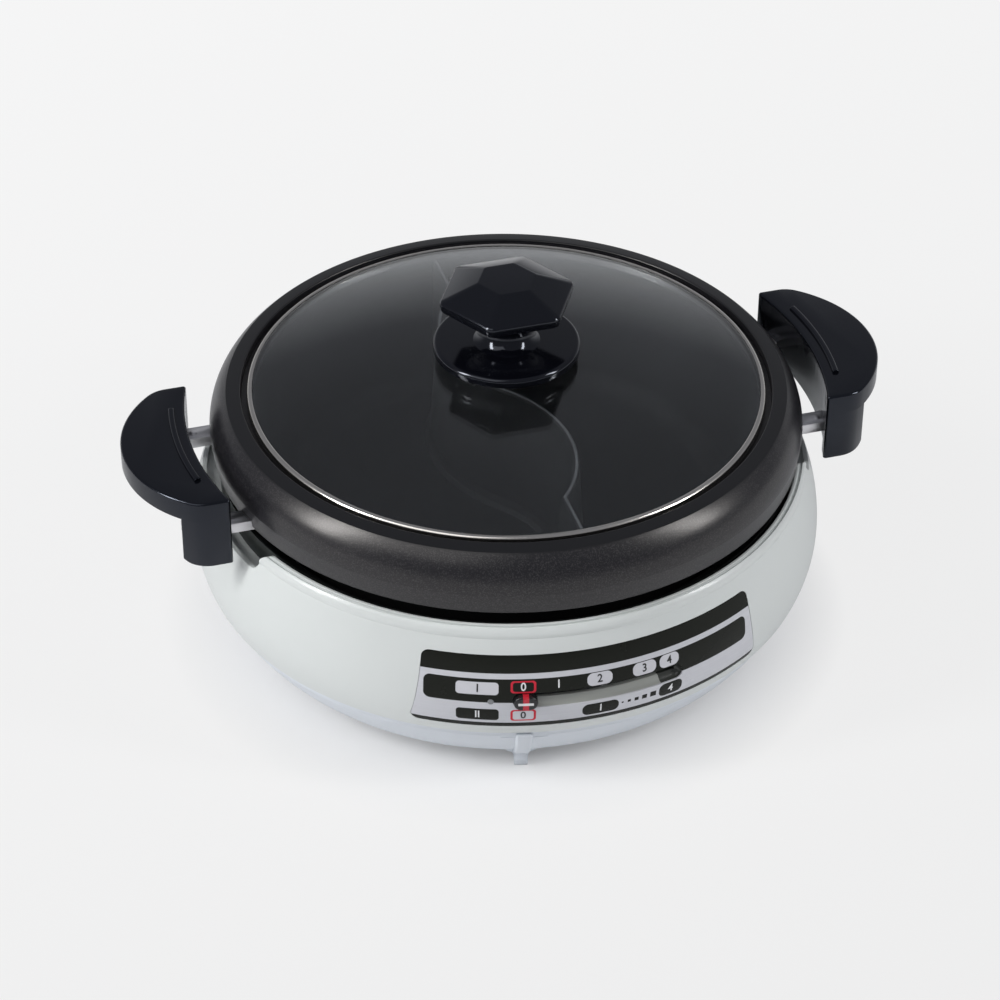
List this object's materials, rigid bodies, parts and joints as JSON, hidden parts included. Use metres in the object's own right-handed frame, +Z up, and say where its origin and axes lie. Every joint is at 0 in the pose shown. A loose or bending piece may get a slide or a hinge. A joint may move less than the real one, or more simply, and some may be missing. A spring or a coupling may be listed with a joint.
{
  "type": "electric hot pot",
  "caption": "Round electric hot pot: heated base with a sliding heat lever, lift-off pot with an S-shaped dividing wall and two handles, and a domed glass lid with a knob.",
  "frame": {"origin": "on the table at the middle of the pot", "axes": "+Z up through the lid knob; +X towards the right handle; the control panel and lever face -Y and the power inlet +Y"},
  "size_m": [0.47, 0.3834, 0.2396],
  "materials": {
    "shell": "satin pale grey",
    "housing": "satin grey",
    "foot_rubber": "matt",
    "screw_steel": "plain",
    "panel": "printed film",
    "black_trim": "fine grain",
    "dark_steel": "black, heat resistant",
    "bright_steel": "plain",
    "element": "heat-darkened tube",
    "ceramic_rest": "glazed ceramic",
    "sensor": "turned",
    "lens": "clear grey",
    "lamp": "neon bulb",
    "pin_metal": "plated",
    "terminal": "plain",
    "knob_plastic": "polished black",
    "pot_coating": "speckled dark non-stick coating on cast aluminium",
    "handle_plastic": "semi-gloss black",
    "lid_glass": "clear tempered",
    "rim_steel": "polished stainless"
  },
  "bodies": {
    "base": {"base_shell": "shell", "bottom_housing": "housing", "foot_pads": "foot_rubber", "housing_screws": "screw_steel", "control_panel": "panel", "slot_bezel": "black_trim", "guard_ring": "dark_steel", "reflector_dish": "bright_steel", "heating_element": "element", "element_clips": "bright_steel", "pot_rests": "ceramic_rest", "sensor_cap": "sensor", "thermostat": "black_trim", "thermostat_strap": "bright_steel", "indicator_lens": "lens", "indicator_lamp": "lamp", "inlet_housing": "black_trim", "inlet_pins": "pin_metal", "terminal_block": "terminal", "thermal_fuse": "terminal"},
    "lever": {"lever_shaft": "bright_steel", "lever_arm": "bright_steel", "lever_nut": "screw_steel", "lever_knob": "knob_plastic"},
    "pot": {"pan": "pot_coating", "handle_right": "handle_plastic", "handle_left": "handle_plastic", "bracket_right_rear": "dark_steel", "bracket_right_front": "dark_steel", "bracket_left_rear": "dark_steel", "bracket_left_front": "dark_steel", "bracket_rivets": "screw_steel", "handle_screws": "screw_steel"},
    "lid": {"lid_glass": "lid_glass", "lid_rim": "rim_steel", "knob_gasket": "foot_rubber", "knob_flange": "knob_plastic", "knob_grip": "knob_plastic", "knob_washer": "bright_steel", "knob_bolt": "bright_steel"}
  },
  "joints": [
    {"name": "heat_lever_turn", "type": "hinge", "parent": "base", "child": "lever", "pos_m": [0, 0, 0.04], "axis": [0, 0, 1], "range_deg": [0, 26.6]},
    {"name": "pot_lift", "type": "slide", "parent": "base", "child": "pot", "axis": [0, 0, 1], "range_m": [0, 0.15]},
    {"name": "lid_lift", "type": "slide", "parent": "pot", "child": "lid", "axis": [0, 0, 1], "range_m": [0, 0.15]}
  ]
}
